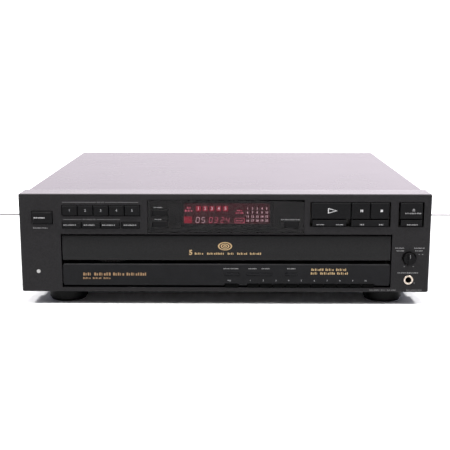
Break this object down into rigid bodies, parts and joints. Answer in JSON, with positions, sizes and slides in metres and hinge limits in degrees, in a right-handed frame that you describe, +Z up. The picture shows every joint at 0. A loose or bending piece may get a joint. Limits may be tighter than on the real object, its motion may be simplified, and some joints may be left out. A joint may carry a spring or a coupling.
{
  "type": "multi disc cd changer",
  "caption": "Full-width black disc player: wide sliding drawer with a turning carousel of disc pockets, rising base unit, display window, push keys, level knob and headphone socket.",
  "frame": {"origin": "on the standing surface, below the middle of the whole outline", "axes": "+X to the right seen from the front, +Y to the back, +Z up; the front faces -Y"},
  "size_m": [0.43, 0.39, 0.119],
  "materials": {
    "cover_paint": "satin",
    "panel_plastic": "fine textured satin black",
    "key_plastic": "satin black",
    "strip_gloss": "glossy black",
    "smoked_window": "smoked, glossy",
    "door_plastic": "satin black",
    "drawer_plastic": "satin black",
    "zinc_steel": "zinc plated",
    "foot_plastic": "satin black",
    "white_plastic": "natural acetal",
    "frame_plastic": "matte black",
    "board": "phenolic board",
    "tube_glass": "dark glass",
    "lamp_lens": "milky",
    "socket_ring": "bright plated",
    "transformer_iron": "varnished laminations",
    "motor_steel": "satin",
    "terminal_plastic": "matte black",
    "black_rubber": "matte"
  },
  "bodies": {
    "cabinet": {"top_cover": "cover_paint", "bottom_chassis": "zinc_steel", "rear_panel": "zinc_steel", "front_panel": "panel_plastic", "control_strip": "strip_gloss", "display_window": "smoked_window", "foot_front_left": "foot_plastic", "foot_front_right": "foot_plastic", "foot_back_left": "foot_plastic", "foot_back_right": "foot_plastic", "standby_lamp": "lamp_lens", "display_tube": "tube_glass", "display_board": "board", "key_board": "board", "main_board": "board", "power_transformer": "transformer_iron", "headphone_jack": "socket_ring", "line_output_jacks": "terminal_plastic", "optical_output_jack": "terminal_plastic", "cord_gland": "black_rubber", "mechanism_frame": "frame_plastic", "clamp_bridge": "zinc_steel", "loading_motor": "motor_steel"},
    "drawer": {"loading_tray": "drawer_plastic", "tray_door": "door_plastic", "table_motor": "motor_steel"},
    "carousel": {"carousel": "drawer_plastic"},
    "table_pinion": {"table_pinion": "white_plastic"},
    "loading_gear": {"loading_gear": "white_plastic"},
    "motor_pinion": {"motor_pinion": "white_plastic"},
    "base_unit": {"base_unit": "frame_plastic"},
    "cam_slide": {"cam_slide": "white_plastic"},
    "disc_platter": {"disc_platter": "motor_steel"},
    "optical_pickup": {"optical_pickup": "frame_plastic"},
    "disc_clamper": {"disc_clamper": "white_plastic"},
    "level_knob": {"level_knob": "key_plastic"},
    "power_button": {"power_button": "key_plastic"},
    "disc_button_1": {"disc_button_1": "key_plastic"},
    "disc_button_2": {"disc_button_2": "key_plastic"},
    "disc_button_3": {"disc_button_3": "key_plastic"},
    "disc_button_4": {"disc_button_4": "key_plastic"},
    "disc_button_5": {"disc_button_5": "key_plastic"},
    "continue_button": {"continue_button": "key_plastic"},
    "shuffle_button": {"shuffle_button": "key_plastic"},
    "program_button": {"program_button": "key_plastic"},
    "repeat_button": {"repeat_button": "key_plastic"},
    "time_button": {"time_button": "key_plastic"},
    "edit_button": {"edit_button": "key_plastic"},
    "fade_button": {"fade_button": "key_plastic"},
    "play_button": {"play_button": "key_plastic"},
    "pause_button": {"pause_button": "key_plastic"},
    "stop_button": {"stop_button": "key_plastic"},
    "open_button": {"open_button": "key_plastic"},
    "skip_button": {"skip_button": "key_plastic"},
    "scan_key": {"scan_key": "strip_gloss"},
    "peak_key": {"peak_key": "strip_gloss"},
    "number_keys": {"number_keys": "strip_gloss"},
    "search_rocker": {"search_rocker": "key_plastic"},
    "track_rocker": {"track_rocker": "key_plastic"},
    "check_rocker": {"check_rocker": "strip_gloss"}
  },
  "joints": [
    {"name": "drawer_slide", "type": "slide", "parent": "cabinet", "child": "drawer", "axis": [0, -1, 0], "range_m": [0, 0.23502]},
    {"name": "carousel_turn", "type": "hinge", "parent": "drawer", "child": "carousel", "pos_m": [0.0015, -0.0111, 0.061], "axis": [0, 0, 1], "continuous": true},
    {"name": "table_pinion_turn", "type": "hinge", "parent": "drawer", "child": "table_pinion", "pos_m": [0.0015, -0.0381, 0.066], "axis": [0, 0, 1], "continuous": true},
    {"name": "loading_gear_turn", "type": "hinge", "parent": "cabinet", "child": "loading_gear", "pos_m": [-0.12211, -0.15471, 0.0422], "axis": [0, 0, 1], "range_deg": [-1, 1284]},
    {"name": "motor_pinion_turn", "type": "hinge", "parent": "cabinet", "child": "motor_pinion", "pos_m": [-0.09811, -0.15471, 0.0422], "axis": [0, 0, 1], "range_deg": [-3850, 3]},
    {"name": "base_unit_lift", "type": "slide", "parent": "cabinet", "child": "base_unit", "axis": [0, 0, 1], "range_m": [0, 0.016]},
    {"name": "cam_slide_travel", "type": "slide", "parent": "cabinet", "child": "cam_slide", "axis": [1, 0, 0], "range_m": [0, 0.032]},
    {"name": "disc_platter_turn", "type": "hinge", "parent": "base_unit", "child": "disc_platter", "pos_m": [0.0015, 0.09251, 0.053], "axis": [0, 0, 1], "continuous": true},
    {"name": "pickup_slide", "type": "slide", "parent": "base_unit", "child": "optical_pickup", "axis": [0, 1, 0], "range_m": [0, 0.035]},
    {"name": "clamper_turn", "type": "hinge", "parent": "cabinet", "child": "disc_clamper", "pos_m": [0.0015, 0.09251, 0.07], "axis": [0, 0, 1], "continuous": true},
    {"name": "level_knob_turn", "type": "hinge", "parent": "cabinet", "child": "level_knob", "pos_m": [0.19341, -0.18901, 0.0509], "axis": [0, -1, 0], "range_deg": [-150, 150]},
    {"name": "power_button_press", "type": "slide", "parent": "cabinet", "child": "power_button", "axis": [0, 1, 0], "range_m": [0, 0.0012], "stiffness_N_per_m": 100},
    {"name": "disc_button_1_press", "type": "slide", "parent": "cabinet", "child": "disc_button_1", "axis": [0, 1, 0], "range_m": [0, 0.0012], "stiffness_N_per_m": 100},
    {"name": "disc_button_2_press", "type": "slide", "parent": "cabinet", "child": "disc_button_2", "axis": [0, 1, 0], "range_m": [0, 0.0012], "stiffness_N_per_m": 100},
    {"name": "disc_button_3_press", "type": "slide", "parent": "cabinet", "child": "disc_button_3", "axis": [0, 1, 0], "range_m": [0, 0.0012], "stiffness_N_per_m": 100},
    {"name": "disc_button_4_press", "type": "slide", "parent": "cabinet", "child": "disc_button_4", "axis": [0, 1, 0], "range_m": [0, 0.0012], "stiffness_N_per_m": 100},
    {"name": "disc_button_5_press", "type": "slide", "parent": "cabinet", "child": "disc_button_5", "axis": [0, 1, 0], "range_m": [0, 0.0012], "stiffness_N_per_m": 100},
    {"name": "continue_button_press", "type": "slide", "parent": "cabinet", "child": "continue_button", "axis": [0, 1, 0], "range_m": [0, 0.0012], "stiffness_N_per_m": 100},
    {"name": "shuffle_button_press", "type": "slide", "parent": "cabinet", "child": "shuffle_button", "axis": [0, 1, 0], "range_m": [0, 0.0012], "stiffness_N_per_m": 100},
    {"name": "program_button_press", "type": "slide", "parent": "cabinet", "child": "program_button", "axis": [0, 1, 0], "range_m": [0, 0.0012], "stiffness_N_per_m": 100},
    {"name": "repeat_button_press", "type": "slide", "parent": "cabinet", "child": "repeat_button", "axis": [0, 1, 0], "range_m": [0, 0.0012], "stiffness_N_per_m": 100},
    {"name": "time_button_press", "type": "slide", "parent": "cabinet", "child": "time_button", "axis": [0, 1, 0], "range_m": [0, 0.0012], "stiffness_N_per_m": 100},
    {"name": "edit_button_press", "type": "slide", "parent": "cabinet", "child": "edit_button", "axis": [0, 1, 0], "range_m": [0, 0.0012], "stiffness_N_per_m": 100},
    {"name": "fade_button_press", "type": "slide", "parent": "cabinet", "child": "fade_button", "axis": [0, 1, 0], "range_m": [0, 0.0012], "stiffness_N_per_m": 100},
    {"name": "play_button_press", "type": "slide", "parent": "cabinet", "child": "play_button", "axis": [0, 1, 0], "range_m": [0, 0.0012], "stiffness_N_per_m": 100},
    {"name": "pause_button_press", "type": "slide", "parent": "cabinet", "child": "pause_button", "axis": [0, 1, 0], "range_m": [0, 0.0012], "stiffness_N_per_m": 100},
    {"name": "stop_button_press", "type": "slide", "parent": "cabinet", "child": "stop_button", "axis": [0, 1, 0], "range_m": [0, 0.0012], "stiffness_N_per_m": 100},
    {"name": "open_button_press", "type": "slide", "parent": "cabinet", "child": "open_button", "axis": [0, 1, 0], "range_m": [0, 0.0012], "stiffness_N_per_m": 100},
    {"name": "skip_button_press", "type": "slide", "parent": "cabinet", "child": "skip_button", "axis": [0, 1, 0], "range_m": [0, 0.0012], "stiffness_N_per_m": 100},
    {"name": "scan_key_press", "type": "slide", "parent": "cabinet", "child": "scan_key", "axis": [0, 1, 0], "range_m": [0, 0.0012], "stiffness_N_per_m": 100},
    {"name": "peak_key_press", "type": "slide", "parent": "cabinet", "child": "peak_key", "axis": [0, 1, 0], "range_m": [0, 0.0012], "stiffness_N_per_m": 100},
    {"name": "number_keys_press", "type": "slide", "parent": "cabinet", "child": "number_keys", "axis": [0, 1, 0], "range_m": [0, 0.0012], "stiffness_N_per_m": 100},
    {"name": "search_rocker_tilt", "type": "hinge", "parent": "cabinet", "child": "search_rocker", "pos_m": [0.10876, -0.18481, 0.0887], "axis": [0, 0, 1], "range_deg": [-2.5, 2.5], "stiffness_Nm_per_rad": 0.03},
    {"name": "track_rocker_tilt", "type": "hinge", "parent": "cabinet", "child": "track_rocker", "pos_m": [0.15101, -0.18481, 0.0887], "axis": [0, 0, 1], "range_deg": [-2.5, 2.5], "stiffness_Nm_per_rad": 0.03},
    {"name": "check_rocker_tilt", "type": "hinge", "parent": "cabinet", "child": "check_rocker", "pos_m": [0.03651, -0.18451, 0.03325], "axis": [0, 0, 1], "range_deg": [-2.5, 2.5], "stiffness_Nm_per_rad": 0.03}
  ],
  "couplings": [
    {"joint": "loading_gear_turn", "follows": "drawer_slide", "rad_per_m": 95.238},
    {"joint": "motor_pinion_turn", "follows": "drawer_slide", "rad_per_m": -285.71},
    {"joint": "table_pinion_turn", "follows": "carousel_turn", "ratio": 4},
    {"joint": "cam_slide_travel", "follows": "base_unit_lift", "ratio": 2}
  ]
}
